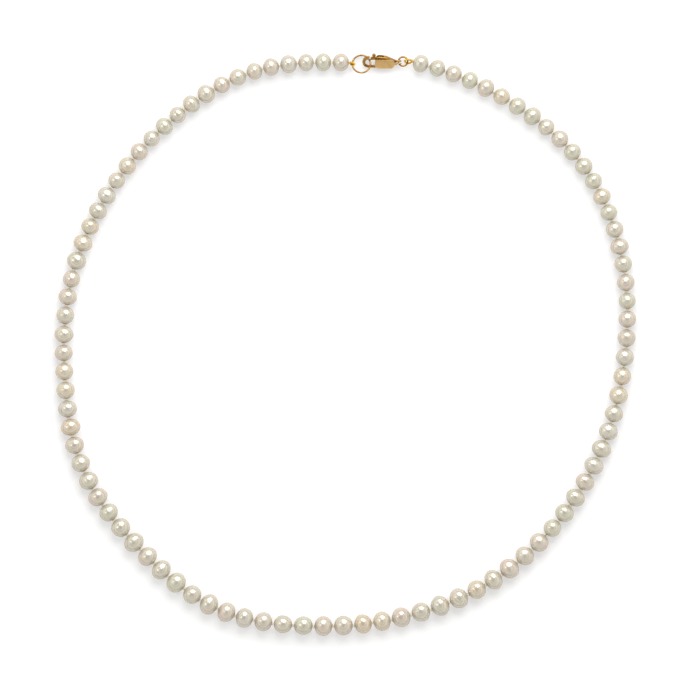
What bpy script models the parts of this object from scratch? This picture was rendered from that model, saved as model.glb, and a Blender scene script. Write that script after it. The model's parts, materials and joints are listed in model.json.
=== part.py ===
"""A knotted strand of freshwater pearls with a gold lobster clasp, lying closed in a loop.

Metres, +Z up. The origin is on the surface that the pearls lie on, under the middle of the
loop, and the clasp is at the back of the loop, on the +Y side. Pearls are numbered clockwise
from the right of the clasp. The strand leaves the clasp on both sides: the right run ends at
the front of the loop, where it meets the end of the left run.
"""

import math
import random

import bmesh
import bpy
import numpy as np
from mathutils import Matrix, Vector

MM = 0.001

# The loop: radii of the silk's line, evenly spaced clockwise from the first pearl to the last.
LAY_RADII = [
    radius * MM
    for radius in (
        73.6, 74.3, 75.5, 73.5, 71.0, 70.2, 70.2, 70.7, 70.8, 72.1,
        74.9, 73.7, 74.1, 71.9, 71.7, 71.5, 72.0, 73.2, 71.4,
    )
]
FIRST_PEARL_ANGLE = math.radians(14.9)
LAST_PEARL_ANGLE = math.radians(358.96)
LINE_SAMPLES = 4000

# The pearls: smallest beside the clasp, largest at the front of the loop.
PEARL_COUNT = 93
RIGHT_RUN_COUNT = 46
BACK_DIAMETER = 4.15 * MM
FRONT_DIAMETER = 4.70 * MM
SILK_HEIGHT_SHARE = 0.515
DRILL_RADIUS = 0.35 * MM
PEARL_SEED = 18
ROUND_STEPS = 12
RING_ANGLES = [math.radians(angle) for angle in (9, 50, 90, 130, 171)]

# The silk knots between pearls.
KNOT_LENGTH = 0.42 * MM
KNOT_RADIUS = 0.48 * MM
KNOT_CLEARANCE = 0.12 * MM

# The clasp, in its own plane: u runs from the nose to the tail and v towards the trigger.
CLASP_NOSE = Vector((4.16, 71.52, 1.50)) * MM
CLASP_YAW = math.radians(1.2)
CLASP_ROLL = math.radians(30)
HOOK_HALF_WIDTH = 1.58 * MM
HOOK_HALF_THICK = 0.34 * MM
HOUSING_HALF_THICK = 0.68 * MM
TAIL_HALF_THICK = 0.30 * MM
HOUSING_START = 3.6 * MM
TAIL_START = 8.3 * MM
EDGE_ROUNDING = 0.14 * MM
SLOT_HALF_WIDTH = 0.31 * MM
EYE_CENTRE_U = 9.15 * MM
EYE_MAJOR = 0.56 * MM
EYE_MINOR = 0.21 * MM
PIVOT_U = 4.35 * MM
PIVOT_V = 0.72 * MM
PIVOT_RADIUS = 0.28 * MM
PIVOT_GAP = 0.05 * MM
LEVER_HALF_THICK = 0.20 * MM
KNOB_RADIUS = 0.46 * MM
KNOB_U = 2.95 * MM
KNOB_V = 1.88 * MM
SPRING_U = 3.92 * MM
SPRING_RADIUS = 0.17 * MM
SPRING_WIRE = 0.05 * MM
SPRING_TURNS = 3

# The rings, the tag and the French wire loops.
JUMP_RING_CENTRE = Vector((3.90, 70.98, 1.42)) * MM
JUMP_RING_MAJOR = 2.29 * MM
JUMP_RING_WIRE = 0.21 * MM
JUMP_RING_TILT = math.radians(-16)
SMALL_RING_CENTRE = Vector((14.46, 71.62, 1.52)) * MM
SMALL_RING_MAJOR = 1.16 * MM
SMALL_RING_WIRE = 0.22 * MM
SMALL_RING_TILT = math.radians(-8)
TAG_LENGTH = 5.0 * MM
TAG_WIDTH = 2.43 * MM
TAG_THICK = 0.26 * MM
TAG_NECK = 0.62 * MM
TAG_ANGLE_ON_RING = math.radians(206)
TAG_PITCH = math.radians(4.5)
TAG_ROLL = math.radians(27)
TAG_EYE_MAJOR = 0.52 * MM
TAG_EYE_MINOR = 0.15 * MM
TAG_EYE_DROP = 0.35 * MM
GIMP_WIRE = 0.25 * MM
GIMP_LEG_GAP = 0.58 * MM
GIMP_PEARL_GAP = 0.12 * MM
GIMP_STRAIGHT = 0.20 * MM
RIGHT_GIMP_TURN = 0.76 * MM
RIGHT_GIMP_TILT = math.radians(36)
LEFT_GIMP_TURN = 0.58 * MM
LEFT_GIMP_TILT = 0.0


# ---------------------------------------------------------------- scene and materials


def clear_scene():
    for obj in list(bpy.data.objects):
        bpy.data.objects.remove(obj, do_unlink=True)


def make_collection(name):
    collection = bpy.data.collections.new(name)
    bpy.context.scene.collection.children.link(collection)
    return collection


def make_material(name, colour, roughness, metallic):
    material = bpy.data.materials.new(name)
    material.use_nodes = True
    shader = material.node_tree.nodes["Principled BSDF"]
    shader.inputs["Base Color"].default_value = (*colour, 1)
    shader.inputs["Roughness"].default_value = roughness
    shader.inputs["Metallic"].default_value = metallic
    return material


def place(name, mesh, matrix, material, collection):
    """A named part: the mesh in its own frame, put in place by the matrix."""
    obj = bpy.data.objects.new(name, mesh)
    obj.matrix_world = matrix
    mesh.materials.clear()
    mesh.materials.append(material)
    mesh.shade_smooth()
    mesh.set_sharp_from_angle(angle=math.radians(40))
    collection.objects.link(obj)
    return obj


# ---------------------------------------------------------------- mesh helpers


def mesh_of(obj):
    """The object's evaluated mesh in its own frame, welded, and the object removed."""
    bpy.context.view_layer.update()
    graph = bpy.context.evaluated_depsgraph_get()
    mesh = bpy.data.meshes.new_from_object(obj.evaluated_get(graph))
    bpy.data.objects.remove(obj, do_unlink=True)
    work = bmesh.new()
    work.from_mesh(mesh)
    bmesh.ops.remove_doubles(work, verts=work.verts, dist=1e-6)
    bmesh.ops.recalc_face_normals(work, faces=work.faces)
    work.to_mesh(mesh)
    work.free()
    return mesh


def loose_object(name, data):
    obj = bpy.data.objects.new(name, data)
    bpy.context.scene.collection.objects.link(obj)
    return obj


def turned_mesh(name, profile):
    """A solid turned about Z from (radius, height) points that run top to bottom."""
    mesh = bpy.data.meshes.new(name)
    points = [(radius, 0, height) for radius, height in profile]
    edges = [(index, index + 1) for index in range(len(points) - 1)]
    mesh.from_pydata(points, edges, [])
    obj = loose_object(name, mesh)
    screw = obj.modifiers.new("turn", "SCREW")
    screw.steps = ROUND_STEPS
    screw.render_steps = ROUND_STEPS
    screw.use_merge_vertices = True
    screw.merge_threshold = 1e-6
    return mesh_of(obj)


def wire_mesh(name, points, radius, cyclic=False):
    """A round wire along the points, with filled ends."""
    curve = bpy.data.curves.new(name, "CURVE")
    curve.dimensions = "3D"
    curve.bevel_depth = radius
    curve.bevel_resolution = 2
    curve.use_fill_caps = True
    spline = curve.splines.new("POLY")
    spline.points.add(len(points) - 1)
    for spot, point in zip(spline.points, points):
        spot.co = (*point, 1)
    spline.use_cyclic_u = cyclic
    return mesh_of(loose_object(name, curve))


def plate_mesh(name, outline, half_thick, rounding=0.0):
    """A flat outline in the local XY plane, given thickness and rounded edges."""
    curve = bpy.data.curves.new(name, "CURVE")
    curve.dimensions = "2D"
    curve.fill_mode = "BOTH"
    curve.extrude = half_thick - rounding
    curve.bevel_depth = rounding
    curve.bevel_resolution = 0
    curve.offset = -rounding
    spline = curve.splines.new("POLY")
    spline.points.add(len(outline) - 1)
    for spot, (x, y) in zip(spline.points, outline):
        spot.co = (x, y, 0, 1)
    spline.use_cyclic_u = True
    return mesh_of(loose_object(name, curve))


def ring_mesh(major, minor, major_steps, minor_steps=8):
    """A torus in the local XY plane."""
    bpy.ops.mesh.primitive_torus_add(
        major_radius=major,
        minor_radius=minor,
        major_segments=major_steps,
        minor_segments=minor_steps,
        location=(0, 0, 0),
    )
    return mesh_of(bpy.context.object)


def rod_mesh(radius, length, steps=12):
    """A cylinder about the local Z axis, centred on the origin."""
    bpy.ops.mesh.primitive_cylinder_add(radius=radius, depth=length, vertices=steps)
    return mesh_of(bpy.context.object)


def arc(centre, radius, start, end, steps):
    """Points along a circle's arc, from one angle to another in degrees."""
    angles = np.radians(np.linspace(start, end, steps))
    return [(centre[0] + radius * math.cos(a), centre[1] + radius * math.sin(a)) for a in angles]


def combine(mesh, tool_mesh, tool_matrix, operation):
    """The mesh after an exact Boolean with the tool, placed by its matrix."""
    base = loose_object("base", mesh)
    tool = loose_object("tool", tool_mesh)
    tool.matrix_world = tool_matrix
    boolean = base.modifiers.new(operation.lower(), "BOOLEAN")
    boolean.operation = operation
    boolean.solver = "EXACT"
    boolean.object = tool
    result = mesh_of(base)
    bpy.data.objects.remove(tool, do_unlink=True)
    return result


# ---------------------------------------------------------------- the strand


def lay_radius(share):
    """Radius of the loop, from share 0 at the first pearl to 1 at the last: a Catmull-Rom curve."""
    ends = [2 * LAY_RADII[0] - LAY_RADII[1], 2 * LAY_RADII[-1] - LAY_RADII[-2]]
    guides = [ends[0], *LAY_RADII, ends[1]]
    spans = len(LAY_RADII) - 1
    span = min(int(share * spans), spans - 1)
    t = share * spans - span
    before, start, end, after = guides[span : span + 4]
    slope = end - before
    bend = 2 * before - 5 * start + 4 * end - after
    twist = 3 * start - before - 3 * end + after
    return start + (slope * t + bend * t**2 + twist * t**3) / 2


def lay_line():
    """The silk's line from the first pearl's middle to the last one's: points and lengths."""
    shares = np.linspace(0, 1, LINE_SAMPLES)
    angles = FIRST_PEARL_ANGLE + shares * (LAST_PEARL_ANGLE - FIRST_PEARL_ANGLE)
    radii = np.array([lay_radius(share) for share in shares])
    points = np.column_stack([radii * np.sin(angles), radii * np.cos(angles)])
    steps = np.hypot(*np.diff(points, axis=0).T)
    return points, np.concatenate([[0], np.cumsum(steps)])


def graded_diameter(share):
    """Diameter by place along the strand, from 0 and 1 at the clasp to 0.5 at the front."""
    swell = math.sin(math.pi * share) ** 2
    return BACK_DIAMETER + (FRONT_DIAMETER - BACK_DIAMETER) * swell


class Pearl:
    """One pearl's sizes, and where its middle is along the silk."""

    def __init__(self, number, chance):
        self.number = number
        size = graded_diameter((number - 1) / (PEARL_COUNT - 1))
        self.silk_height = size * SILK_HEIGHT_SHARE
        self.length = size * chance.uniform(0.95, 1.04)
        self.wide = size * chance.uniform(0.92, 1.06)
        self.tall = size * chance.uniform(0.95, 1.03)
        self.place = 0.0
        self.centre = None


def string_pearls():
    """The pearls, evenly knotted to fill the line between the two ends of the clasp."""
    chance = random.Random(PEARL_SEED)
    pearls = [Pearl(number, chance) for number in range(1, PEARL_COUNT + 1)]
    points, lengths = lay_line()
    between = sum(pearl.length for pearl in pearls) - (pearls[0].length + pearls[-1].length) / 2
    knots = KNOT_LENGTH * (PEARL_COUNT - 1)
    stretch = (lengths[-1] - knots) / between
    for pearl in pearls:
        pearl.length *= stretch
    for before, after in zip(pearls, pearls[1:]):
        after.place = before.place + (before.length + after.length) / 2 + KNOT_LENGTH
    for pearl in pearls:
        x, y = (np.interp(pearl.place, lengths, points[:, axis]) for axis in (0, 1))
        pearl.centre = Vector((x, y, pearl.silk_height))
    return pearls


def knot_between(first, second):
    """The middle of the knot between two neighbouring pearls."""
    share = (first.length + KNOT_LENGTH) / (first.length + second.length + 2 * KNOT_LENGTH)
    return first.centre.lerp(second.centre, share)


def pearl_profile(pearl, start):
    """(radius, height) points up one pearl, whose lower end is at the start height."""
    middle = start + pearl.length / 2
    half = pearl.length / 2
    radius = pearl.tall / 2
    rings = [(radius * math.sin(a), middle - half * math.cos(a)) for a in RING_ANGLES]
    return [(max(ring_radius, DRILL_RADIUS), height) for ring_radius, height in rings]


def knot_profile(start, length):
    return [(KNOT_RADIUS, start + length * 0.5)]


def segment_mesh(name, pearls, ends_in_knot):
    """Neighbouring pearls and their knots as one solid along +Z, from the knot before them."""
    profile = [(0, KNOT_LENGTH / 2)]
    start = KNOT_LENGTH / 2
    for index, pearl in enumerate(pearls):
        if index:
            profile += knot_profile(start, KNOT_LENGTH)
            start += KNOT_LENGTH
        profile += pearl_profile(pearl, start)
        start += pearl.length
    if ends_in_knot:
        knot = KNOT_LENGTH - KNOT_CLEARANCE
        profile += knot_profile(start, knot)
        start += knot
    profile.append((0, start))
    mesh = turned_mesh(name, profile[::-1])
    press_off_round(mesh, pearls)
    return mesh


def press_off_round(mesh, pearls):
    """Widens each pearl across the silk, in local Y, to its own width; the knots stay round."""
    low = KNOT_LENGTH / 2
    for pearl in pearls:
        for vertex in mesh.vertices:
            along = (vertex.co.z - low) / pearl.length
            if 0 < along < 1:
                share = math.sin(math.pi * along)
                vertex.co.y *= 1 + (pearl.wide / pearl.tall - 1) * share
        low += pearl.length + KNOT_LENGTH


def silk_frame(origin, towards):
    """A frame whose Z runs along the silk, Y lies level and X points up."""
    along = (towards - origin).normalized()
    level = Vector((0, 0, 1)).cross(along).normalized()
    rise = level.cross(along)
    turned = Matrix((rise, level, along)).transposed()
    return Matrix.Translation(origin) @ turned.to_4x4()


def segment_name(pearls):
    numbers = sorted(pearl.number for pearl in pearls)
    return "pearls_" + "_".join(f"{number:02d}" for number in numbers)


def split_runs(pearls):
    """The right and left runs, each a list of segments counted outwards from the clasp."""
    right = pearls[:RIGHT_RUN_COUNT]
    left = pearls[RIGHT_RUN_COUNT:][::-1]
    right_run = [right[index : index + 2] for index in range(0, len(right), 2)]
    left_run = [left[:1]] + [left[index : index + 2] for index in range(1, len(left), 2)]
    return right_run, left_run


def end_of_silk(pearl, neighbour):
    """Where the silk leaves an end pearl on the side away from its neighbour, and which way."""
    outwards = (pearl.centre - neighbour.centre).normalized()
    return pearl.centre + outwards * pearl.length / 2, outwards


def segment_joints(run, far_neighbour):
    """The knot before each segment, and the one after the last."""
    knots = [knot_between(before[-1], after[0]) for before, after in zip(run, run[1:])]
    pearl_end, outwards = end_of_silk(*(run[0] + run[1])[:2])
    start = pearl_end + outwards * KNOT_LENGTH / 2
    return [start, *knots, knot_between(run[-1][-1], far_neighbour)]


def build_strand(pearls, material, collection):
    right_run, left_run = split_runs(pearls)
    ends = (right_run[-1][-1], left_run[-1][-1])
    for run, neighbour, last_has_knot in ((right_run, ends[1], True), (left_run, ends[0], False)):
        knots = segment_joints(run, neighbour)
        for index, segment in enumerate(run):
            has_knot = last_has_knot or index < len(run) - 1
            name = segment_name(segment)
            mesh = segment_mesh(name, segment, has_knot)
            frame = silk_frame(knots[index], knots[index + 1])
            place(name, mesh, frame, material, collection)


# ---------------------------------------------------------------- the clasp


def clasp_frame():
    """The clasp's frame: X from nose to tail, Y towards the trigger, Z across its thickness."""
    yaw = Matrix.Rotation(CLASP_YAW, 4, "Z")
    roll = Matrix.Rotation(CLASP_ROLL, 4, "X")
    return Matrix.Translation(CLASP_NOSE) @ yaw @ roll


def clasp_outline():
    """The body's outline: hook, lower arm, housing and tail, open at the mouth."""
    nose = (HOOK_HALF_WIDTH, 0)
    outer = arc(nose, HOOK_HALF_WIDTH, 78, 270, 11)
    lower = [(3.2 * MM, -1.62 * MM), (4.4 * MM, -1.6 * MM), (5.8 * MM, -1.34 * MM)]
    lower += [(7.2 * MM, -0.86 * MM), (TAIL_START, -0.36 * MM), (8.7 * MM, -0.28 * MM)]
    upper = [(8.7 * MM, 0.28 * MM), (TAIL_START, 0.36 * MM), (7.2 * MM, 0.9 * MM)]
    upper += [(5.8 * MM, 1.42 * MM), (4.6 * MM, 1.62 * MM), (3.9 * MM, 1.6 * MM)]
    front = [(HOUSING_START, 1.3 * MM), (HOUSING_START, -0.72 * MM)]
    corner = arc((3.2 * MM, -0.68 * MM), 0.4 * MM, 0, -90, 3)[1:]
    inner = arc((1.63 * MM, -0.12 * MM), 0.94 * MM, 270, 84, 8)
    return outer + lower + upper + front + corner + inner


def clasp_half_thickness(u):
    """Half thickness along the body: thin at the hook, full at the housing, thin at the tail."""
    stations = [0, 3.0 * MM, 4.2 * MM, 6.0 * MM, TAIL_START]
    halves = [HOOK_HALF_THICK, HOOK_HALF_THICK, HOUSING_HALF_THICK, HOUSING_HALF_THICK]
    return float(np.interp(u, stations, [*halves, TAIL_HALF_THICK]))


def clasp_body_mesh():
    mesh = plate_mesh("clasp", clasp_outline(), HOUSING_HALF_THICK, EDGE_ROUNDING)
    for vertex in mesh.vertices:
        vertex.co.z *= clasp_half_thickness(vertex.co.x) / HOUSING_HALF_THICK
    slot_length = 2.1 * MM
    slot_height = 2.8 * MM
    bpy.ops.mesh.primitive_cube_add(size=1)
    slot = mesh_of(bpy.context.object)
    slot.transform(Matrix.Diagonal((slot_length, slot_height, 2 * SLOT_HALF_WIDTH, 1)))
    slot_middle = Vector((3.35 * MM + slot_length / 2, -0.62 * MM + slot_height / 2, 0))
    mesh = combine(mesh, slot, Matrix.Translation(slot_middle), "DIFFERENCE")
    hole = rod_mesh(PIVOT_RADIUS + PIVOT_GAP, 3 * MM)
    mesh = combine(mesh, hole, Matrix.Translation((PIVOT_U, PIVOT_V, 0)), "DIFFERENCE")
    eye = ring_mesh(EYE_MAJOR, EYE_MINOR, 16)
    upright = Matrix.Rotation(math.radians(90) - CLASP_ROLL, 4, "X")
    return combine(mesh, eye, Matrix.Translation((EYE_CENTRE_U, 0, 0)) @ upright, "UNION")


def trigger_outline():
    """The lever: gate to the hook's tip, a step that fills the mouth, and the pivot's boss."""
    gate = [(1.32 * MM, 0.66 * MM), (1.32 * MM, 0.5 * MM), (1.5 * MM, 0.38 * MM)]
    under = [(3.5 * MM, 0.3 * MM), (4.1 * MM, 0.28 * MM)]
    boss = arc((PIVOT_U, PIVOT_V), 0.47 * MM, -60, 90, 6)
    top = [(3.8 * MM, 1.36 * MM), (3.1 * MM, 1.5 * MM), (2.5 * MM, 1.46 * MM)]
    step = [(2.12 * MM, 1.3 * MM), (2.0 * MM, 0.72 * MM)]
    return gate + under + boss + top + step


def trigger_mesh():
    mesh = plate_mesh("trigger", trigger_outline(), LEVER_HALF_THICK, 0.05 * MM)
    hole = rod_mesh(PIVOT_RADIUS + PIVOT_GAP, 3 * MM)
    mesh = combine(mesh, hole, Matrix.Translation((PIVOT_U, PIVOT_V, 0)), "DIFFERENCE")
    bpy.ops.mesh.primitive_uv_sphere_add(segments=12, ring_count=7, radius=KNOB_RADIUS)
    knob = mesh_of(bpy.context.object)
    mesh = combine(mesh, knob, Matrix.Translation((KNOB_U, KNOB_V, 0)), "UNION")
    mesh.transform(Matrix.Translation((-PIVOT_U, -PIVOT_V, 0)))
    return mesh


def spring_mesh():
    """The coil under the lever, standing on the slot's floor with its axis along v."""
    low, high = -0.50 * MM, 0.10 * MM
    turns = np.linspace(0, SPRING_TURNS, SPRING_TURNS * 8 + 1)
    points = [
        (
            SPRING_U + SPRING_RADIUS * math.cos(2 * math.pi * turn),
            low + (high - low) * turn / SPRING_TURNS,
            SPRING_RADIUS * math.sin(2 * math.pi * turn),
        )
        for turn in turns
    ]
    return wire_mesh("spring", points, SPRING_WIRE)


def build_clasp(material, collection):
    frame = clasp_frame()
    pivot = frame @ Matrix.Translation((PIVOT_U, PIVOT_V, 0))
    pin = rod_mesh(PIVOT_RADIUS, 2 * HOUSING_HALF_THICK)
    place("clasp_body", clasp_body_mesh(), frame, material, collection)
    place("trigger", trigger_mesh(), pivot, material, collection)
    place("trigger_pin", pin, pivot, material, collection)
    place("trigger_spring", spring_mesh(), frame, material, collection)


# ---------------------------------------------------------------- rings, tag and French wire


def ring_frame(centre, tilt):
    return Matrix.Translation(centre) @ Matrix.Rotation(tilt, 4, "X")


def tag_outline():
    """An oblong with well rounded ends, running from its eye at the origin towards -X."""
    corner = 0.95 * MM
    right = -TAG_NECK - TAG_EYE_MAJOR
    left = right - TAG_LENGTH
    half = TAG_WIDTH / 2
    outline = arc((right - corner, half - corner), corner, 0, 90, 4)
    outline += arc((left + 0.5 * MM, half - 0.5 * MM), 0.5 * MM, 90, 180, 3)
    outline += arc((left + corner, corner - half), corner, 180, 270, 4)
    outline += arc((right - corner, corner - half), corner, 270, 360, 4)
    neck = 0.26 * MM
    return outline + [(right, -neck), (-TAG_EYE_MAJOR, -neck), (-TAG_EYE_MAJOR, neck), (right, neck)]


def tag_mesh():
    mesh = plate_mesh("tag", tag_outline(), TAG_THICK / 2)
    mesh.transform(Matrix.Translation((0, 0, TAG_EYE_DROP)))
    eye = ring_mesh(TAG_EYE_MAJOR, TAG_EYE_MINOR, 14, 6)
    upright = Matrix.Rotation(math.radians(90) - TAG_ROLL, 4, "X")
    return combine(mesh, eye, upright, "UNION")


def point_on_ring(frame, major, angle):
    return frame @ Vector((major * math.cos(angle), major * math.sin(angle), 0))


def gimp_points(pearl_end, outwards, ring_wire, wire_along, turn_radius, tilt):
    """A U of French wire from a pearl's hole, round a ring's wire and back."""
    along = (ring_wire - pearl_end).normalized()
    across = Matrix.Rotation(tilt, 3, along) @ wire_along.cross(along).normalized()
    half_gap = GIMP_LEG_GAP / 2
    near = pearl_end + outwards * GIMP_PEARL_GAP
    bend = near + outwards * GIMP_STRAIGHT
    turn = [
        ring_wire + (along * math.cos(a) + across * math.sin(a)) * turn_radius
        for a in np.radians(np.linspace(100, -100, 9))
    ]
    beside = (across - outwards * across.dot(outwards)).normalized() * half_gap
    start = [near + beside, bend + beside]
    end = [bend - beside, near - beside]
    return start + turn + end


def add_gimp(name, pearl, neighbour, ring, turn_radius, tilt, material, collection):
    """A French wire loop from an end pearl round a ring, given as its frame, radius and angle."""
    frame, major, angle = ring
    ring_wire = point_on_ring(frame, major, angle)
    wire_along = frame.to_3x3() @ Vector((-math.sin(angle), math.cos(angle), 0))
    pearl_end, outwards = end_of_silk(pearl, neighbour)
    points = gimp_points(pearl_end, outwards, ring_wire, wire_along, turn_radius, tilt)
    mesh = wire_mesh(name, [point - ring_wire for point in points], GIMP_WIRE)
    return place(name, mesh, Matrix.Translation(ring_wire), material, collection)


def carry(gimp, pearls_name):
    """The end pearls turn with their French wire, about the ring that it goes round."""
    pearls = bpy.data.objects[pearls_name]
    pearls.parent = gimp
    pearls.matrix_parent_inverse = gimp.matrix_world.inverted()


def build_findings(pearls, materials, collection):
    """The two rings, the tag on the small ring, and a French wire loop at each end."""
    gold, tan_gold, yellow = materials
    jump = ring_frame(JUMP_RING_CENTRE, JUMP_RING_TILT)
    small = ring_frame(SMALL_RING_CENTRE, SMALL_RING_TILT)
    jump_mesh = ring_mesh(JUMP_RING_MAJOR, JUMP_RING_WIRE, 28)
    small_mesh = ring_mesh(SMALL_RING_MAJOR, SMALL_RING_WIRE, 18)
    place("jump_ring", jump_mesh, jump, gold, collection)
    place("small_ring", small_mesh, small, gold, collection)
    tag_spot = point_on_ring(small, SMALL_RING_MAJOR, TAG_ANGLE_ON_RING)
    tag_turn = Matrix.Rotation(TAG_PITCH, 4, "Y") @ Matrix.Rotation(TAG_ROLL, 4, "X")
    place("tag", tag_mesh(), Matrix.Translation(tag_spot) @ tag_turn, tan_gold, collection)
    right_ring = (small, SMALL_RING_MAJOR, 0.0)
    left_ring = (jump, JUMP_RING_MAJOR, math.pi)
    right = (*pearls[:2], right_ring, RIGHT_GIMP_TURN, RIGHT_GIMP_TILT)
    left = (pearls[-1], pearls[-2], left_ring, LEFT_GIMP_TURN, LEFT_GIMP_TILT)
    carry(add_gimp("gimp_right", *right, yellow, collection), "pearls_01_02")
    carry(add_gimp("gimp_left", *left, yellow, collection), "pearls_93")


def main():
    clear_scene()
    collection = make_collection("pearl_necklace")
    nacre = make_material("cream_nacre", (0.83, 0.79, 0.72), 0.2, 0.0)
    gold = make_material("polished_gold", (0.78, 0.55, 0.24), 0.18, 1.0)
    tan_gold = make_material("satin_gold", (0.80, 0.60, 0.36), 0.42, 1.0)
    yellow = make_material("french_wire_gold", (0.88, 0.64, 0.14), 0.28, 1.0)
    pearls = string_pearls()
    build_strand(pearls, nacre, collection)
    build_clasp(gold, collection)
    build_findings(pearls, (gold, tan_gold, yellow), collection)


main()
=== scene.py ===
import json
import math
import random

import bpy
import bmesh
import numpy as np
from mathutils import Matrix, Vector, noise

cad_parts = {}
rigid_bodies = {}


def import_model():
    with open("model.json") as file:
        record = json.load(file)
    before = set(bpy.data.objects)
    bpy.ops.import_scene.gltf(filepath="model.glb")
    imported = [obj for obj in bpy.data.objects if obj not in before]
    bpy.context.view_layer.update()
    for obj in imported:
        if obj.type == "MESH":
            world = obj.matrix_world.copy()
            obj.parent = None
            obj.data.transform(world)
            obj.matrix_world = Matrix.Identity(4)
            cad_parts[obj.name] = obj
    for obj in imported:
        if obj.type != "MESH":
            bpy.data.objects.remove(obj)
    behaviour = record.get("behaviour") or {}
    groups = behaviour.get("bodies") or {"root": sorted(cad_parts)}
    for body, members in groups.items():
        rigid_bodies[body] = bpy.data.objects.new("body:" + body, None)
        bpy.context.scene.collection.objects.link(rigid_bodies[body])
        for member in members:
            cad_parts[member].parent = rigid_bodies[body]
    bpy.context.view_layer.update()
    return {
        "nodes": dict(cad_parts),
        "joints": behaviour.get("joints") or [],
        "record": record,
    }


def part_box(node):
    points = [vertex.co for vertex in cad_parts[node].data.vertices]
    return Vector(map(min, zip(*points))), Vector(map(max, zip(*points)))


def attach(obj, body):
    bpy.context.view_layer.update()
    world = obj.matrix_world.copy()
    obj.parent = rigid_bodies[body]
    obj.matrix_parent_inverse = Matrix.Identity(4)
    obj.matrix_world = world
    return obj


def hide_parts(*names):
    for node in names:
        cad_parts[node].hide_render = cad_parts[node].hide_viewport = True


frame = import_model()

MM = 0.001

# ---------------------------------------------------------------- sizes of the fine detail

RINGS_PER_PEARL = 6                     # rings of points from one CAD pearl's start to the next's
RING_SPACING = 0.02 * MM                # points further apart than this belong to different rings
FIRST_RING_ANGLE = math.radians(9)      # where the CAD pearl's first ring of points lies
RIGHT_RUN_COUNT = 46                    # pearls numbered outwards from the clasp on its right

PEARL_AROUND, PEARL_ALONG = 56, 36      # points round a visual pearl, and rings along it
HOLE_RADIUS = 0.27 * MM
HOLE_INSIDE, HOLE_RIM = 0.55, 0.8       # the dimple's two inner rings, as shares of the hole's angle
INSIDE_DEPTH, RIM_DEPTH = 0.82, 0.985   # and how far out along the pearl they lie
FULLER = 1.03, 1.095                    # how much fuller across a pearl is than its CAD solid's flats
EGG, LEAN = 0.06, 0.045                 # the most that one end or one side of a pearl swells
LUMPS = [0.014, 0.022, 0.030, 0.042]    # heights of a pearl's slow bumps, as shares of its radius
LUMP_SCALE = 1.3
SHAPE_SEED, SEED_REACH = 41, 50

SILK_RADIUS = 0.13 * MM
KNOT_THREAD = 0.135 * MM
KNOT_MAJOR, KNOT_MINOR = 0.33 * MM, 0.10 * MM
KNOT_CLEARANCE, KNOT_LEAST_RISE = 0.03 * MM, 0.02 * MM
KNOT_SHORTEST_GAP = 0.1 * MM
KNOT_STEPS = 60

RING_WIRE = {"jump_ring": 0.21 * MM, "small_ring": 0.22 * MM}
RING_MAJOR = {"jump_ring": 2.29 * MM, "small_ring": 1.16 * MM}
RING_TILT = {"jump_ring": math.radians(-16), "small_ring": math.radians(-8)}
RING_CUT_ANGLE = {"jump_ring": math.radians(100), "small_ring": math.radians(80)}
RING_CUT_HALF_GAP = 0.008 * MM
RING_STEPS = 97

PIVOT_U, PIVOT_V = 4.35 * MM, 0.72 * MM
PIVOT_RADIUS = 0.28 * MM
PIVOT_CLEARANCE = 0.05 * MM
RIVET_PROFILE = (0.35, 1.0), (0.75, 0.965), (1.0, 0.88)      # (share of radius, share of height)
CLASP_ROLL = math.radians(30)
HOUSING_HALF_THICK = 0.68 * MM
SLOT_HALF_WIDTH = 0.30 * MM
LEVER_HALF_THICK = 0.20 * MM
LEVER_BOSS_RADIUS = 0.47 * MM
CASTING_ROUNDING, LEVER_ROUNDING = 0.26 * MM, 0.06 * MM
COIL_U, COIL_LOW, COIL_HIGH = 3.92 * MM, -0.50 * MM, 0.10 * MM
COIL_RADIUS, COIL_THREAD, COIL_TURNS = 0.17 * MM, 0.045 * MM, 4
HOOK_CENTRE_U, HOOK_RADIUS = 1.58 * MM, 1.58 * MM
CLASP_EYE_U, CLASP_EYE_MAJOR, CLASP_EYE_MINOR = 9.15 * MM, 0.56 * MM, 0.21 * MM
KNOB_U, KNOB_V, KNOB_RADIUS = 2.95 * MM, 1.88 * MM, 0.46 * MM

TAG_LENGTH, TAG_WIDTH, TAG_THICK = 5.0 * MM, 2.43 * MM, 0.26 * MM
TAG_NECK, TAG_EYE_MAJOR, TAG_EYE_MINOR = 0.62 * MM, 0.52 * MM, 0.15 * MM
TAG_NECK_HALF_WIDTH = 0.26 * MM
TAG_CORNER, TAG_SMALL_CORNER = 0.95 * MM, 0.5 * MM
TAG_EYE_DROP = 0.35 * MM
TAG_ROUNDING = 0.05 * MM
TAG_PITCH, TAG_ROLL = math.radians(4.5), math.radians(27)

GIMP_RADIUS, GIMP_THREAD = 0.25 * MM, 0.055 * MM
GIMP_LEG_GAP, GIMP_PEARL_GAP, GIMP_STRAIGHT = 0.58 * MM, 0.12 * MM, 0.20 * MM
GIMP_TURN = {"gimp_right": 0.76 * MM, "gimp_left": 0.58 * MM}
GIMP_TILT = {"gimp_right": math.radians(36), "gimp_left": 0.0}
GIMP_WRAP, GIMP_WRAP_POINTS = 100, 9    # degrees either way round the ring's wire
GIMP_STEPS, GIMP_EASING = 12, 7
WINDING_PITCH, WINDING_STEPS = 2.1, 10  # thread radii from turn to turn, and points to a turn

BEVEL_ANGLE, SHARP_ANGLE = math.radians(40), math.radians(38)
EDGE_BEVEL, WIRE_END_BEVEL = 0.035 * MM, 0.03 * MM

TABLE_HALF_SIDE, TABLE_DROP = 3.0, 0.02 * MM
LIGHT_DISTANCE = 1.1
PICTURE_SIDE = 177.45 * MM
CAMERA_X, CAMERA_Y, CAMERA_Z = 1.01 * MM, -1.52 * MM, 0.5


# ---------------------------------------------------------------- material nodes


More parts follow.
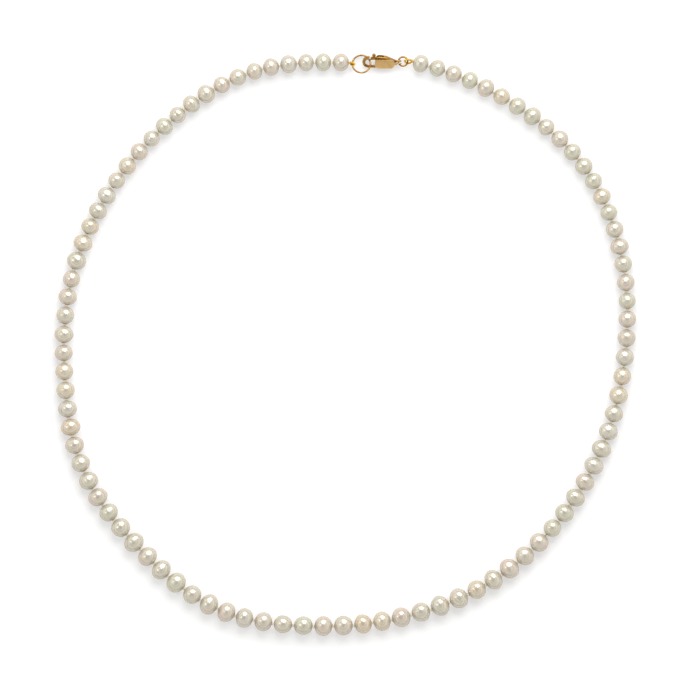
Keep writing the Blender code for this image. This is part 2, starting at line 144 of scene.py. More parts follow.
class Nodes:
    """Short ways of adding nodes to one material."""

    def __init__(self, name):
        self.material = bpy.data.materials.new(name)
        self.material.use_nodes = True
        self.tree = self.material.node_tree
        self.shader = self.tree.nodes["Principled BSDF"]
        self.place = self.add("ShaderNodeTexCoord").outputs["Object"]

    def add(self, kind, **settings):
        node = self.tree.nodes.new(kind)
        for key, value in settings.items():
            setattr(node, key, value)
        return node

    def link(self, source, target):
        self.tree.links.new(source, target)

    def noise(self, scale, detail, stretch=(1, 1, 1), roughness=0.5, distortion=0.0):
        """Solid noise in the piece's own coordinates, from 0 to 1."""
        mapping = self.add("ShaderNodeMapping")
        mapping.inputs["Scale"].default_value = stretch
        self.link(self.place, mapping.inputs["Vector"])
        texture = self.add("ShaderNodeTexNoise")
        texture.inputs["Scale"].default_value = scale
        texture.inputs["Detail"].default_value = detail
        texture.inputs["Roughness"].default_value = roughness
        texture.inputs["Distortion"].default_value = distortion
        self.link(mapping.outputs["Vector"], texture.inputs["Vector"])
        return texture.outputs["Fac"]

    def ramp(self, factor, stops):
        """A colour that follows the factor through (position, colour) stops."""
        ramp = self.add("ShaderNodeValToRGB")
        ramp.color_ramp.interpolation = "EASE"
        elements = ramp.color_ramp.elements
        while len(elements) < len(stops):
            elements.new(0.5)
        for element, (position, colour) in zip(elements, stops):
            element.position = position
            element.color = (*colour, 1)
        self.link(factor, ramp.inputs["Fac"])
        return ramp.outputs["Color"]

    def mix(self, factor, first, second):
        """From the first colour to the second as the factor grows."""
        mix = self.add("ShaderNodeMix", data_type="RGBA")
        self.link(factor, mix.inputs[0])
        for socket, colour in ((mix.inputs[6], first), (mix.inputs[7], second)):
            if isinstance(colour, bpy.types.NodeSocket):
                self.link(colour, socket)
            else:
                socket.default_value = (*colour, 1)
        return mix.outputs[2]

    def spread(self, factor, low, high):
        """The factor from 0 to 1, as a number from low to high."""
        reach = self.add("ShaderNodeMapRange")
        reach.inputs["To Min"].default_value = low
        reach.inputs["To Max"].default_value = high
        self.link(factor, reach.inputs["Value"])
        return reach.outputs["Result"]

    def bump(self, heights):
        """Bumps from (height, distance in metres), each on top of the last."""
        normal = None
        for height, distance in heights:
            bump = self.add("ShaderNodeBump")
            bump.inputs["Strength"].default_value = 1.0
            bump.inputs["Distance"].default_value = distance
            self.link(height, bump.inputs["Height"])
            if normal is not None:
                self.link(normal, bump.inputs["Normal"])
            normal = bump.outputs["Normal"]
        self.link(normal, self.shader.inputs["Normal"])

    def set(self, **values):
        """Shader inputs by name, each from a value or another node."""
        for key, value in values.items():
            socket = self.shader.inputs[key.replace("_", " ")]
            if isinstance(value, bpy.types.NodeSocket):
                self.link(value, socket)
            elif socket.type == "RGBA":
                socket.default_value = (*value, 1)
            else:
                socket.default_value = value


def nacre_material(name, body, overtone, shade):
    """Glossy nacre: a soft cream body with cloudy patches of overtone and faint growth lines."""
    n = Nodes(name)
    clouds = n.noise(330, detail=2.5, distortion=0.6)
    patches = n.noise(190, detail=1.0)
    colour = n.ramp(clouds, [(0.34, overtone), (0.50, body), (0.68, shade)])
    colour = n.mix(n.spread(patches, 0.0, 0.45), colour, body)
    fine = n.noise(2600, detail=3.0)
    colour = n.mix(n.spread(fine, 0.0, 0.10), colour, shade)
    lines = n.add("ShaderNodeTexWave", wave_type="RINGS", rings_direction="SPHERICAL")
    lines.inputs["Scale"].default_value = 900
    lines.inputs["Distortion"].default_value = 3.0
    lines.inputs["Detail"].default_value = 1.5
    n.link(n.place, lines.inputs["Vector"])
    dents = n.noise(480, detail=1.5)
    n.bump([(lines.outputs["Fac"], 0.0012 * MM), (dents, 0.13 * MM), (fine, 0.0015 * MM)])
    film = n.noise(260, detail=1.0)
    n.set(
        Base_Color=colour,
        Metallic=0.42,
        Specular_Tint=(0.62, 0.50, 0.36),
        Roughness=n.spread(patches, 0.13, 0.23),
        IOR=1.38,
        Subsurface_Weight=0.3,
        Subsurface_Radius=(1.0, 0.86, 0.70),
        Subsurface_Scale=0.55 * MM,
        Coat_Weight=0.7,
        Coat_Roughness=n.spread(film, 0.08, 0.14),
        Coat_IOR=1.45,
        Thin_Film_Thickness=n.spread(film, 300, 520),
        Thin_Film_IOR=1.30,
    )
    return n.material


def gold_material(name, bright, dull, roughness, grain, hairlines=(1, 1, 1)):
    """Yellow gold with a patchy polish, fine hairlines and a darker bloom in places."""
    n = Nodes(name)
    bloom = n.noise(900, detail=3.0)
    colour = n.ramp(bloom, [(0.30, dull), (0.62, bright)])
    scratches = n.noise(5200, detail=4.0, stretch=hairlines, roughness=0.7)
    dimples = n.noise(1500, detail=1.0)
    n.bump([(dimples, grain * 3), (scratches, grain)])
    n.set(
        Base_Color=colour,
        Metallic=1.0,
        Roughness=n.spread(scratches, roughness * 0.7, roughness * 1.5),
    )
    return n.material


def silk_material():
    """Cream silk thread: a twist of fine strands, with a soft sheen."""
    n = Nodes("cream_silk")
    strands = n.noise(3800, detail=3.0, roughness=0.6)
    n.bump([(strands, 0.02 * MM)])
    n.set(
        Base_Color=n.ramp(strands, [(0.3, (0.70, 0.62, 0.47)), (0.7, (0.88, 0.82, 0.68))]),
        Roughness=0.62,
        Sheen_Weight=0.4,
        Sheen_Roughness=0.4,
        Subsurface_Weight=0.2,
        Subsurface_Scale=0.2 * MM,
    )
    return n.material


def floor_material():
    """A plain white surface that glows a little, so that it stays white round soft shadows."""
    n = Nodes("white_table")
    cloud = n.noise(14, detail=2.0)
    n.set(
        Base_Color=n.ramp(cloud, [(0.3, (0.59, 0.59, 0.59)), (0.7, (0.61, 0.61, 0.61))]),
        Roughness=0.9,
        Specular_IOR_Level=0.0,
        Emission_Color=(1.0, 1.0, 1.0),
        Emission_Strength=0.32,
    )
    return n.material


# ---------------------------------------------------------------- mesh helpers


def new_piece(name, mesh, material, body, node):
    """One smooth piece that rides on a body, in place of a CAD node."""
    mesh.materials.clear()
    mesh.materials.append(material)
    mesh.shade_smooth()
    piece = bpy.data.objects.new(name, mesh)
    bpy.context.scene.collection.objects.link(piece)
    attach(piece, body)
    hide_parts(node)
    return piece


def grid_mesh(name, rows, closed_ends=True):
    """A skin over rows of points, each row a closed ring; the ends are closed by flat faces."""
    count = len(rows[0])
    points = [tuple(point) for row in rows for point in row]
    faces = []
    for low in range(len(rows) - 1):
        for index in range(count):
            after = (index + 1) % count
            start, above = low * count, (low + 1) * count
            faces.append((start + index, start + after, above + after, above + index))
    if closed_ends:
        faces.append(tuple(range(count))[::-1])
        faces.append(tuple(range(len(points) - count, len(points))))
    mesh = bpy.data.meshes.new(name)
    mesh.from_pydata(points, [], faces)
    return mesh


def joined(name, meshes):
    """One mesh from several."""
    whole = bmesh.new()
    for mesh in meshes:
        whole.from_mesh(mesh)
    result = bpy.data.meshes.new(name)
    whole.to_mesh(result)
    whole.free()
    return result


def smooth_path(points, steps, closed=False):
    """A Catmull-Rom curve through the points, with this many steps from each to the next."""
    points = [Vector(point) for point in points]
    if closed:
        guides = [points[-1], *points, points[0], points[1]]
    else:
        guides = [2 * points[0] - points[1], *points, 2 * points[-1] - points[-2]]
    path = []
    for before, start, end, after in zip(guides, guides[1:], guides[2:], guides[3:]):
        for step in range(steps):
            t = step / steps
            bend = 2 * before - 5 * start + 4 * end - after
            twist = 3 * start - before - 3 * end + after
            path.append(start + ((end - before) * t + bend * t**2 + twist * t**3) / 2)
    return path if closed else path + [points[-1]]


def eased(path, reach):
    """The path with its corners rounded: each point becomes the mean of its neighbours, twice over."""
    for _ in range(2):
        last = len(path) - 1
        spans = [min(reach, index, last - index) for index in range(last + 1)]
        path = [
            sum(path[index - span : index + span + 1], Vector()) / (2 * span + 1)
            for index, span in enumerate(spans)
        ]
    return path


def path_frames(path, closed=False):
    """(point, side, rise) along a path, turned as little as possible from one to the next."""
    count = len(path)
    frames = []
    rise = None
    for index, point in enumerate(path):
        before = path[index - 1] if index or closed else path[0]
        after = path[(index + 1) % count] if index + 1 < count or closed else path[-1]
        along = (after - before).normalized()
        if rise is None:
            rise = Vector((0, 0, 1)) if abs(along.z) < 0.9 else Vector((1, 0, 0))
        rise = (rise - along * rise.dot(along)).normalized()
        frames.append((point, along.cross(rise), rise))
    return frames


def tube_mesh(name, path, radius, sides=10, closed=False):
    """A round wire along a path."""
    turn = [2 * math.pi * index / sides for index in range(sides)]
    rows = [
        [point + side * (radius * math.cos(a)) + rise * (radius * math.sin(a)) for a in turn]
        for point, side, rise in path_frames(path, closed)
    ]
    if not closed:
        return grid_mesh(name, rows)
    mesh = grid_mesh(name, [*rows, rows[0]], closed_ends=False)
    whole = bmesh.new()
    whole.from_mesh(mesh)
    bmesh.ops.remove_doubles(whole, verts=whole.verts, dist=1e-8)
    whole.to_mesh(mesh)
    whole.free()
    return mesh


def mesh_points(node):
    """The different points of a CAD node's mesh."""
    points = np.array([vertex.co for vertex in frame["nodes"][node].data.vertices])
    return np.unique(np.round(points, 7), axis=0)


# ---------------------------------------------------------------- where the strand's pieces are


JOINTS, BODIES = frame["joints"], frame["record"]["behaviour"]["bodies"]
JOINT_OF = {joint["child"]: joint for joint in JOINTS}
BODY_OF = {node: body for body, nodes in BODIES.items() for node in nodes}
NEXT_BODY = {joint["parent"]: joint["child"] for joint in JOINTS if joint["parent"] != "clasp"}


class Segment:
    """One strand node: the line of its silk, and the size and place of each pearl on it."""

    def __init__(self, node):
        self.node = node
        self.body = BODY_OF[node]
        self.numbers = [int(text) for text in node.split("_")[1:]]
        if self.numbers[0] > RIGHT_RUN_COUNT:
            self.numbers.reverse()
        points = mesh_points(node)
        middle = Vector(points.mean(0))
        following = NEXT_BODY.get(self.body)
        if following:
            along = Vector(JOINT_OF[following]["pos_m"]) - middle
        else:
            along = middle - Vector(JOINT_OF[self.body]["pos_m"])
        self.along = along.normalized()
        self.level = Vector((0, 0, 1)).cross(self.along).normalized()
        self.rise = self.level.cross(self.along)
        self.origin = middle
        offsets = points - np.array(middle)
        heights = offsets @ np.array(self.along)
        rises = offsets @ np.array(self.rise)
        levels = offsets @ np.array(self.level)
        order = np.argsort(heights)
        breaks = np.where(np.diff(heights[order]) > RING_SPACING)[0] + 1
        self.rings = []
        for members in np.split(order, breaks):
            tall, wide = np.abs(rises[members]).max(), np.abs(levels[members]).max()
            self.rings.append((heights[members].mean(), tall, wide))
        self.pearls = [self.measure(1 + RINGS_PER_PEARL * index) for index in range(len(self.numbers))]
        self.end = self.rings[-1][0]

    def measure(self, first):
        """(middle, half length, half height, half width) of the pearl whose first ring this is."""
        middle_ring, last = first + 2, first + 4
        low, high = self.rings[first][0], self.rings[last][0]
        _, tall, wide = self.rings[middle_ring]
        return (low + high) / 2, (high - low) / 2 / math.cos(FIRST_RING_ANGLE), tall, wide

    def point(self, height, rise=0.0, level=0.0):
        """The point at a height along the silk, and this far above and beside it."""
        return self.origin + self.along * height + self.rise * rise + self.level * level


def strand_segments():
    nodes = sorted(node for node in frame["nodes"] if node.startswith("pearls_"))
    return [Segment(node) for node in nodes]


# ---------------------------------------------------------------- pearls


def pearl_mesh(name, segment, size, chance):
    """One drilled pearl, a little off round, with dimpled holes and slow bumps of its own."""
    middle, half, tall, wide = size
    egg = chance.uniform(-EGG, EGG)
    lean = chance.uniform(-LEAN, LEAN)
    seed = Vector([chance.uniform(-SEED_REACH, SEED_REACH) for _ in range(3)])
    lump = chance.choice(LUMPS)
    wide *= chance.uniform(*FULLER)
    hole_angle = math.asin(HOLE_RADIUS / tall)
    dimple = [(hole_angle * HOLE_INSIDE, INSIDE_DEPTH), (hole_angle * HOLE_RIM, RIM_DEPTH)]
    skin = [(a, 1.0) for a in np.linspace(hole_angle, math.pi - hole_angle, PEARL_ALONG)]
    far_dimple = [(math.pi - a, depth) for a, depth in reversed(dimple)]
    rows = []
    for a, depth in dimple + skin + far_dimple:
        row = []
        for step in range(PEARL_AROUND):
            b = 2 * math.pi * step / PEARL_AROUND
            direction = Vector((math.sin(a) * math.cos(b), math.sin(a) * math.sin(b), -math.cos(a)))
            swell = 1 + egg * direction.z * (1 - abs(direction.z))
            swell += lean * direction.x * direction.z
            swell += lump * noise.noise(direction * LUMP_SCALE + seed) * math.sin(a)
            height = middle + half * direction.z * depth
            row.append(segment.point(height, tall * direction.x * swell, wide * direction.y * swell))
        rows.append(row)
    return grid_mesh(name, rows)


def knot_mesh(name, segment, height, length, turn):
    """An overhand knot of thread round the silk, as a trefoil drawn tight."""
    path = []
    rise = max(length / 2 - KNOT_THREAD - KNOT_CLEARANCE, KNOT_LEAST_RISE)
    for step in range(KNOT_STEPS):
        t = 2 * math.pi * step / KNOT_STEPS
        radius = KNOT_MAJOR + KNOT_MINOR * math.cos(3 * t)
        across = (radius * math.cos(2 * t + turn), radius * math.sin(2 * t + turn))
        path.append(segment.point(height + rise * math.sin(3 * t), *across))
    return tube_mesh(name, path, KNOT_THREAD, sides=8, closed=True)


def silk_mesh(name, segment, chance):
    """The silk of one segment: the thread through its pearls, and its knots."""
    thread = [segment.point(segment.rings[0][0]), segment.point(segment.end)]
    parts = [tube_mesh(name, thread, SILK_RADIUS)]
    for index in range(len(segment.numbers)):
        middle, half, _, _ = segment.pearls[index]
        start = middle + half
        if index + 1 < len(segment.numbers):
            following, following_half, _, _ = segment.pearls[index + 1]
            end = following - following_half
        else:
            end = segment.end
        if end - start > KNOT_SHORTEST_GAP:
            turn = chance.uniform(0, math.pi)
            parts.append(knot_mesh(name, segment, (start + end) / 2, end - start, turn))
    return joined(name, parts)


NACRE_COLOURS = {                       # body, overtone and shade
    "cream": ((0.54, 0.50, 0.41), (0.56, 0.48, 0.39), (0.49, 0.465, 0.38)),
    "ivory": ((0.56, 0.505, 0.40), (0.56, 0.47, 0.36), (0.52, 0.47, 0.36)),
    "rose": ((0.55, 0.495, 0.41), (0.56, 0.46, 0.385), (0.51, 0.46, 0.38)),
    "green": ((0.53, 0.505, 0.405), (0.505, 0.49, 0.385), (0.50, 0.465, 0.37)),
    "silver": ((0.545, 0.51, 0.43), (0.52, 0.48, 0.405), (0.50, 0.47, 0.39)),
    "peach": ((0.57, 0.495, 0.385), (0.57, 0.455, 0.34), (0.54, 0.465, 0.355)),
}
TINT_CHANCES = ["cream"] * 5 + ["ivory"] * 2 + ["rose"] * 3 + ["green"] * 2 + ["silver"] * 2
NOTED_TINTS = {12: "green", 32: "green", 34: "rose", 35: "rose", 43: "ivory", 44: "peach", 64: "peach"}


def build_strand(silk):
    """Every pearl and length of silk; gives back the strand's segments."""
    chance = random.Random(SHAPE_SEED)
    nacres = {tint: nacre_material("nacre_" + tint, *NACRE_COLOURS[tint]) for tint in NACRE_COLOURS}
    segments = strand_segments()
    for segment in segments:
        thread_name = "silk_" + "_".join(f"{number:02d}" for number in sorted(segment.numbers))
        mesh = silk_mesh(thread_name, segment, chance)
        new_piece(thread_name, mesh, silk, segment.body, segment.node)
        for number, size in zip(segment.numbers, segment.pearls):
            name = f"pearl_{number:02d}"
            tint = NOTED_TINTS.get(number, chance.choice(TINT_CHANCES))
            mesh = pearl_mesh(name, segment, size, chance)
            new_piece(name, mesh, nacres[tint], segment.body, segment.node)
    return segments


# ---------------------------------------------------------------- rings


def ring_frame(node):
    """A ring's frame: its middle, with the wire going round Z."""
    low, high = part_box(node)
    return Matrix.Translation((low + high) / 2) @ Matrix.Rotation(RING_TILT[node], 4, "X")


def point_on_ring(node, angle):
    """A point on the middle of a ring's wire."""
    major = RING_MAJOR[node]
    return ring_frame(node) @ Vector((major * math.cos(angle), major * math.sin(angle), 0))


def wire_ring(name, node, material):
    """A ring of round wire, bent shut, with the hair-wide gap where its two ends meet."""
    half_gap = RING_CUT_HALF_GAP / RING_MAJOR[node]
    start = RING_CUT_ANGLE[node] + half_gap
    angles = np.linspace(start, start + 2 * math.pi - 2 * half_gap, RING_STEPS)
    path = [point_on_ring(node, angle) for angle in angles]
    mesh = tube_mesh(name, path, RING_WIRE[node], sides=20)
    piece = new_piece(name, mesh, material, BODY_OF[node], node)
    add_bevel(piece, WIRE_END_BEVEL)


def add_bevel(piece, width):
    bevel = piece.modifiers.new("edges", "BEVEL")
    bevel.width = width
    bevel.segments = 2
    bevel.limit_method = "ANGLE"
    bevel.angle_limit = BEVEL_ANGLE


def soften(piece):
    """Smooth shading across shallow edges, with a small bevel on the sharp ones."""
    add_bevel(piece, EDGE_BEVEL)
    piece.data.set_sharp_from_angle(angle=SHARP_ANGLE)


# ---------------------------------------------------------------- the clasp


def millimetres(*points):
    """Outline points that are given in millimetres."""
    return [(u * MM, v * MM) for u, v in points]


def arc(centre, radius, start, end, steps):
    """Points on an arc, from one angle in degrees to another."""
    turns = np.radians(np.linspace(start, end, steps))
    return [(centre[0] + radius * math.cos(a), centre[1] + radius * math.sin(a)) for a in turns]


def clasp_frame():
    """The clasp's frame from its pivot: X from nose to tail, Z along the pivot."""
    joint = JOINT_OF["trigger"]
    across = Vector(joint["axis"]).normalized()
    along = Vector((-across.y, across.x, 0)).normalized()
    upwards = across.cross(along)
    origin = Vector(joint["pos_m"]) - along * PIVOT_U - upwards * PIVOT_V
    turned = Matrix((along, upwards, across)).transposed()
    return Matrix.Translation(origin) @ turned.to_4x4()


def plate_mesh(name, outline, half_thick, rounding, resolution=4):
    """A flat outline in the local XY plane, given thickness and well rounded edges."""
    curve = bpy.data.curves.new(name, "CURVE")
    curve.dimensions = "2D"
    curve.fill_mode = "BOTH"
    curve.extrude = half_thick - rounding
    curve.bevel_depth = rounding
    curve.bevel_resolution = resolution
    curve.offset = -rounding
    spline = curve.splines.new("POLY")
    spline.points.add(len(outline) - 1)
    for spot, point in zip(spline.points, outline):
        spot.co = (point[0], point[1], 0, 1)
    spline.use_cyclic_u = True
    holder = bpy.data.objects.new(name, curve)
    bpy.context.scene.collection.objects.link(holder)
    bpy.context.view_layer.update()
    graph = bpy.context.evaluated_depsgraph_get()
    mesh = bpy.data.meshes.new_from_object(holder.evaluated_get(graph))
    bpy.data.objects.remove(holder)
    bpy.data.curves.remove(curve)
    tidy = bmesh.new()
    tidy.from_mesh(mesh)
    bmesh.ops.remove_doubles(tidy, verts=tidy.verts, dist=1e-7)
    bmesh.ops.recalc_face_normals(tidy, faces=tidy.faces)
    tidy.to_mesh(mesh)
    tidy.free()
    return mesh


def cut(mesh, tool, operation="DIFFERENCE"):
    """The mesh with a tool mesh taken away from it, or added to it."""
    holders = [bpy.data.objects.new("work", item) for item in (mesh, tool)]
    for holder in holders:
        bpy.context.scene.collection.objects.link(holder)
    boolean = holders[0].modifiers.new("cut", "BOOLEAN")
    boolean.object = holders[1]
    boolean.operation = operation
    boolean.solver = "EXACT"
    bpy.context.view_layer.update()
    graph = bpy.context.evaluated_depsgraph_get()
    result = bpy.data.meshes.new_from_object(holders[0].evaluated_get(graph))
    for holder in holders:
        bpy.data.objects.remove(holder)
    return result


def block_mesh(low, high):
    """A box between two corners."""
    block = bmesh.new()
    bmesh.ops.create_cube(block, size=1)
    mesh = bpy.data.meshes.new("block")
    block.to_mesh(mesh)
    block.free()
    low, high = Vector(low), Vector(high)
    mesh.transform(Matrix.Translation((low + high) / 2) @ Matrix.Diagonal((*(high - low), 1)))
    return mesh


def pivot_hole():
    """A rod to cut the pivot's hole with, through everything."""
    ends = [Vector((0, 0, -2 * MM)), Vector((0, 0, 2 * MM))]
    return at(tube_mesh("hole", ends, PIVOT_RADIUS + PIVOT_CLEARANCE, sides=32), PIVOT_U, PIVOT_V)


def torus_mesh(name, major, minor, steps=48, sides=16):
    """A closed ring of wire round Z."""
    path = [
        Vector((major * math.cos(a), major * math.sin(a), 0))
        for a in np.linspace(0, 2 * math.pi, steps, endpoint=False)
    ]
    return tube_mesh(name, path, minor, sides, closed=True)


def at(mesh, u, v, w=0.0):
    """The mesh, moved there."""
    mesh.transform(Matrix.Translation((u, v, w)))
    return mesh


def clasp_outline():
    """Hook, lower arm, housing and tail, open at the mouth, drawn as smooth runs between corners."""
    hook = arc((HOOK_CENTRE_U, 0), HOOK_RADIUS, 78, 270, 40)
    belly = millimetres((3.2, -1.62), (4.4, -1.6), (5.8, -1.34), (7.2, -0.86), (8.3, -0.36), (8.7, -0.28))
    back = millimetres((8.7, 0.28), (8.3, 0.36), (7.2, 0.9), (5.8, 1.42), (4.6, 1.62), (3.9, 1.6))
    runs = smooth_path([hook[-1], *belly], 6)[1:] + smooth_path(back, 6)
    front = millimetres((3.6, 1.42), (3.6, 1.3), (3.6, -0.72))
    corner = arc((3.2 * MM, -0.68 * MM), 0.4 * MM, 0, -90, 10)[1:]
    inner = arc((1.63 * MM, -0.12 * MM), 0.94 * MM, 270, 84, 36)
    return hook + [tuple(point) for point in runs] + front + corner + inner


def clasp_half_thickness(u):
    """Half the casting's thickness: thin at the hook, full at the housing, thinner at the tail."""
    stations = [0, 3.0 * MM, 4.2 * MM, 6.0 * MM, 8.3 * MM]
    halves = [0.34 * MM, 0.34 * MM, HOUSING_HALF_THICK, HOUSING_HALF_THICK, 0.30 * MM]
    return float(np.interp(u, stations, halves))


def clasp_body_piece(place, material):
    """The casting: hook, housing with the lever's slot, pivot hole and tail eye."""
    mesh = plate_mesh("clasp_body", clasp_outline(), HOUSING_HALF_THICK, CASTING_ROUNDING)
    for vertex in mesh.vertices:
        vertex.co.z *= clasp_half_thickness(vertex.co.x) / HOUSING_HALF_THICK
    low, high = (3.35 * MM, -0.62 * MM, -SLOT_HALF_WIDTH), (5.45 * MM, 2.18 * MM, SLOT_HALF_WIDTH)
    mesh = cut(mesh, block_mesh(low, high))
    mesh = cut(mesh, pivot_hole())
    eye = torus_mesh("eye", CLASP_EYE_MAJOR, CLASP_EYE_MINOR)
    eye.transform(Matrix.Rotation(math.radians(90) - CLASP_ROLL, 4, "X"))
    mesh = cut(mesh, at(eye, CLASP_EYE_U, 0), "UNION")
    mesh.transform(place)
    soften(new_piece("clasp_body_cast", mesh, material, "clasp", "clasp_body"))


def trigger_piece(place, material):
    """The lever: a tongue that shuts the hook, a boss round the pivot, and the thumb knob."""
    tongue = millimetres((1.62, 0.80), (1.62, 0.74), (1.74, 0.64), (3.2, 0.54), (4.1, 0.28))
    boss = arc((PIVOT_U, PIVOT_V), LEVER_BOSS_RADIUS, -60, 90, 18)
    top = millimetres((3.8, 1.36), (3.1, 1.5), (2.5, 1.46), (2.12, 1.3), (2.0, 0.72))
    mesh = plate_mesh("trigger", tongue + boss + top, LEVER_HALF_THICK, LEVER_ROUNDING, resolution=2)
    mesh = cut(mesh, pivot_hole())
    knob = bmesh.new()
    bmesh.ops.create_uvsphere(knob, u_segments=28, v_segments=16, radius=KNOB_RADIUS)
    knob_mesh = bpy.data.meshes.new("knob")
    knob.to_mesh(knob_mesh)
    knob.free()
    mesh = cut(mesh, at(knob_mesh, KNOB_U, KNOB_V), "UNION")
    mesh.transform(place)
    soften(new_piece("trigger_lever", mesh, material, "trigger", "trigger"))


def pin_piece(place, material):
    """The pivot pin, with its ends peened into low domes."""
    turns = np.linspace(0, 2 * math.pi, 32, endpoint=False)
    rows = []
    for share, height in [(share, -height) for share, height in RIVET_PROFILE] + list(RIVET_PROFILE)[::-1]:
        radius, z = PIVOT_RADIUS * share, HOUSING_HALF_THICK * height
        rows.append([(radius * math.cos(a), radius * math.sin(a), z) for a in turns])
    mesh = grid_mesh("trigger_rivet", rows)
    mesh.transform(place @ Matrix.Translation((PIVOT_U, PIVOT_V, 0)))
    new_piece("trigger_rivet", mesh, material, "clasp", "trigger_pin")


def spring_piece(place, material):
    """The fine coil under the lever."""
    path = []
    for turn in np.linspace(0, COIL_TURNS, COIL_TURNS * 16 + 1):
        a = 2 * math.pi * turn
        height = COIL_LOW + (COIL_HIGH - COIL_LOW) * turn / COIL_TURNS
        path.append(place @ Vector((COIL_U + COIL_RADIUS * math.cos(a), height, COIL_RADIUS * math.sin(a))))
    mesh = tube_mesh("clasp_coil", path, COIL_THREAD, sides=8)
    new_piece("clasp_coil", mesh, material, "clasp", "trigger_spring")


# ---------------------------------------------------------------- tag and French wire


def tag_piece(material):
    """The stamped oblong tag: a thin plate with rounded corners, its neck and its soldered eye."""
    right, half = -TAG_NECK - TAG_EYE_MAJOR, TAG_WIDTH / 2
    left, corner, small, neck = right - TAG_LENGTH, TAG_CORNER, TAG_SMALL_CORNER, TAG_NECK_HALF_WIDTH
    outline = arc((right - corner, half - corner), corner, 0, 90, 12)
    outline += arc((left + small, half - small), small, 90, 180, 10)
    outline += arc((left + corner, corner - half), corner, 180, 270, 12)
    outline += arc((right - corner, corner - half), corner, 270, 360, 12)
    outline += [(right, -neck), (-TAG_EYE_MAJOR, -neck), (-TAG_EYE_MAJOR, neck), (right, neck)]
    plate = plate_mesh("tag", outline, TAG_THICK / 2, TAG_ROUNDING, resolution=3)
    eye = torus_mesh("eye", TAG_EYE_MAJOR, TAG_EYE_MINOR, steps=40, sides=14)
    eye.transform(Matrix.Rotation(math.radians(90) - TAG_ROLL, 4, "X"))
    mesh = cut(at(plate, 0, 0, TAG_EYE_DROP), eye, "UNION")
    turned = Matrix.Rotation(TAG_PITCH, 4, "Y") @ Matrix.Rotation(TAG_ROLL, 4, "X")
    mesh.transform(Matrix.Translation(JOINT_OF["tag"]["pos_m"]) @ turned)
    soften(new_piece("oblong_tag", mesh, material, "tag", "tag"))


def gimp_path(node, segment, ring, angle):
    """The French wire's line: out of the end pearl, round a ring's wire and back."""
    middle, half, _, _ = segment.pearls[0]
    pearl_end = segment.point(middle - half)
    outwards = -segment.along
    spot = point_on_ring(ring, angle)
    wire_along = ring_frame(ring).to_3x3() @ Vector((-math.sin(angle), math.cos(angle), 0))
    along = (spot - pearl_end).normalized()
    across = Matrix.Rotation(GIMP_TILT[node], 3, along) @ wire_along.cross(along).normalized()
    near = pearl_end + outwards * GIMP_PEARL_GAP
    bend = near + outwards * GIMP_STRAIGHT
    beside = (across - outwards * across.dot(outwards)).normalized() * GIMP_LEG_GAP / 2
    turn = [
        spot + (along * math.cos(a) + across * math.sin(a)) * GIMP_TURN[node]
        for a in np.radians(np.linspace(GIMP_WRAP, -GIMP_WRAP, GIMP_WRAP_POINTS))
    ]
    route = [near + beside, bend + beside, *turn, bend - beside, near - beside]
    return eased(smooth_path(route, GIMP_STEPS), GIMP_EASING)


def coil_round(path, radius, thread):
    """A line that winds round a path, each turn lying against the last."""
    frames = path_frames(path)
    lengths = [0.0]
    for before, after in zip(path, path[1:]):
        lengths.append(lengths[-1] + (after - before).length)
    turns = lengths[-1] / (WINDING_PITCH * thread)
    points = []
    for share in np.linspace(0, 1, int(turns * WINDING_STEPS)):
        place = share * lengths[-1]
        index = min(int(np.searchsorted(lengths, place, side="right")) - 1, len(path) - 2)
        part = (place - lengths[index]) / (lengths[index + 1] - lengths[index])
        point, side, rise = frames[index]
        following, next_side, next_rise = frames[index + 1]
        middle = point.lerp(following, part)
        a = 2 * math.pi * turns * share
        sideways = side.lerp(next_side, part).normalized()
        upwards = rise.lerp(next_rise, part).normalized()
        points.append(middle + (sideways * math.cos(a) + upwards * math.sin(a)) * radius)
    return points


def gimp_pieces(node, segment, ring, angle, material, silk):
    """The French wire, wound round the silk that it protects."""
    path = gimp_path(node, segment, ring, angle)
    winding = coil_round(path, GIMP_RADIUS - GIMP_THREAD, GIMP_THREAD)
    mesh = tube_mesh(node + "_coil", winding, GIMP_THREAD, sides=7)
    body = BODY_OF[node]
    new_piece(node + "_coil", mesh, material, body, node)
    core = tube_mesh(node + "_silk", path, GIMP_RADIUS - 2 * GIMP_THREAD, sides=8)
    new_piece(node + "_silk", core, silk, body, node)


def build_findings(segments, silk):
    """The clasp, rings, tag and French wire."""
    polished = gold_material("polished_gold", (0.42, 0.23, 0.050), (0.24, 0.11, 0.022), 0.10, 0.0012 * MM)
    satin = gold_material("satin_gold", (0.60, 0.39, 0.165), (0.53, 0.33, 0.125), 0.30, 0.003 * MM, (1, 9, 9))
    ringed = gold_material("ring_gold", (0.35, 0.19, 0.040), (0.18, 0.08, 0.015), 0.10, 0.0012 * MM)
    french = gold_material("french_wire_gold", (0.84, 0.53, 0.04), (0.58, 0.31, 0.012), 0.2, 0.001 * MM)
    place = clasp_frame()
    clasp_body_piece(place, polished)
    trigger_piece(place, polished)
    pin_piece(place, polished)
    spring_piece(place, polished)
    wire_ring("jump_ring_wire", "jump_ring", ringed)
    wire_ring("small_ring_wire", "small_ring", ringed)
    tag_piece(satin)
    by_body = {segment.body: segment for segment in segments}
    gimp_pieces("gimp_right", by_body["right_end"], "small_ring", 0.0, french, silk)
    gimp_pieces("gimp_left", by_body["left_end"], "jump_ring", math.pi, french, silk)


# ---------------------------------------------------------------- table, light and camera


def build_table():
    half = TABLE_HALF_SIDE
    corners = [(-half, -half, 0), (half, -half, 0), (half, half, 0), (-half, half, 0)]
    mesh = bpy.data.meshes.new("table_top")
    mesh.from_pydata(corners, [], [(0, 1, 2, 3)])
    mesh.materials.append(floor_material())
    table = bpy.data.objects.new("table_top", mesh)
    table.location.z = -TABLE_DROP
    bpy.context.scene.collection.objects.link(table)


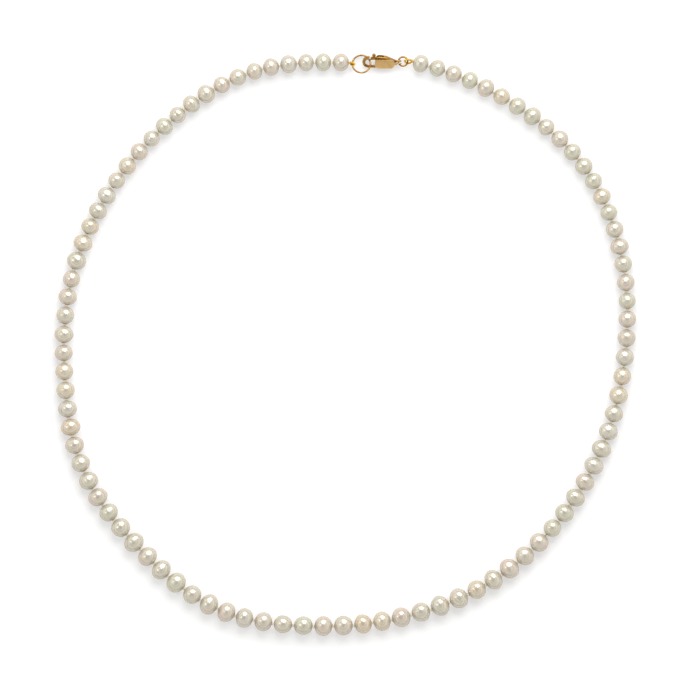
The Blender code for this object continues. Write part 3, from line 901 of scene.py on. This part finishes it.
def area_light(name, direction, size, power):
    """A round white lamp in that direction, aimed at the middle of the table."""
    light = bpy.data.lights.new(name, "AREA")
    light.shape = "DISK"
    light.size = size
    light.energy = power
    lamp = bpy.data.objects.new(name, light)
    direction = Vector(direction).normalized()
    lamp.location = direction * LIGHT_DISTANCE
    lamp.rotation_euler = direction.to_track_quat("Z", "Y").to_euler()
    bpy.context.scene.collection.objects.link(lamp)


def build_sky():
    """Soft white surroundings: dark below and overhead, with a darker band between two pale ones."""
    world = bpy.data.worlds.new("soft_studio")
    world.use_nodes = True
    bpy.context.scene.world = world
    tree = world.node_tree
    background = tree.nodes["Background"]
    place = tree.nodes.new("ShaderNodeTexCoord").outputs["Generated"]
    split = tree.nodes.new("ShaderNodeSeparateXYZ")
    tree.links.new(place, split.inputs[0])
    height = tree.nodes.new("ShaderNodeValToRGB")
    stops = [
        (0.0, 0.25), (0.53, 0.25), (0.61, 1.32), (0.79, 1.32), (0.825, 0.60),
        (0.875, 0.60), (0.905, 1.15), (0.94, 1.15), (0.97, 0.38), (1.0, 0.28),
    ]
    elements = height.color_ramp.elements
    while len(elements) < len(stops):
        elements.new(0.5)
    for element, (position, level) in zip(elements, stops):
        element.position = position
        element.color = (level, level, level, 1)
    lifted = tree.nodes.new("ShaderNodeMapRange")
    lifted.inputs["From Min"].default_value = -1.0
    tree.links.new(split.outputs["Z"], lifted.inputs["Value"])
    tree.links.new(lifted.outputs["Result"], height.inputs["Fac"])
    front = tree.nodes.new("ShaderNodeMapRange")
    front.inputs["From Min"].default_value = -1.0
    front.inputs["To Min"].default_value = 0.92
    front.inputs["To Max"].default_value = 1.06
    tree.links.new(split.outputs["Y"], front.inputs["Value"])
    blend = tree.nodes.new("ShaderNodeMix")
    blend.data_type = "RGBA"
    blend.blend_type = "MULTIPLY"
    blend.inputs[0].default_value = 1.0
    tree.links.new(height.outputs["Color"], blend.inputs[6])
    tree.links.new(front.outputs["Result"], blend.inputs[7])
    tree.links.new(blend.outputs[2], background.inputs["Color"])
    background.inputs["Strength"].default_value = 1.0


def build_camera():
    """Straight down, with the picture's top towards +Y."""
    camera = bpy.data.cameras.new("camera")
    camera.type = "ORTHO"
    camera.ortho_scale = PICTURE_SIDE
    camera.clip_end = 10
    holder = bpy.data.objects.new("camera", camera)
    holder.location = (CAMERA_X, CAMERA_Y, CAMERA_Z)
    bpy.context.scene.collection.objects.link(holder)
    bpy.context.scene.camera = holder


bpy.context.scene.view_settings.view_transform = "Standard"
build_camera()
build_sky()
area_light("key", (0.12, 0.70, 0.70), size=1.05, power=10.5)
area_light("side_window", (-0.66, 0.10, 0.74), size=0.36, power=0.8)
build_table()
silk = silk_material()
build_findings(build_strand(silk), silk)
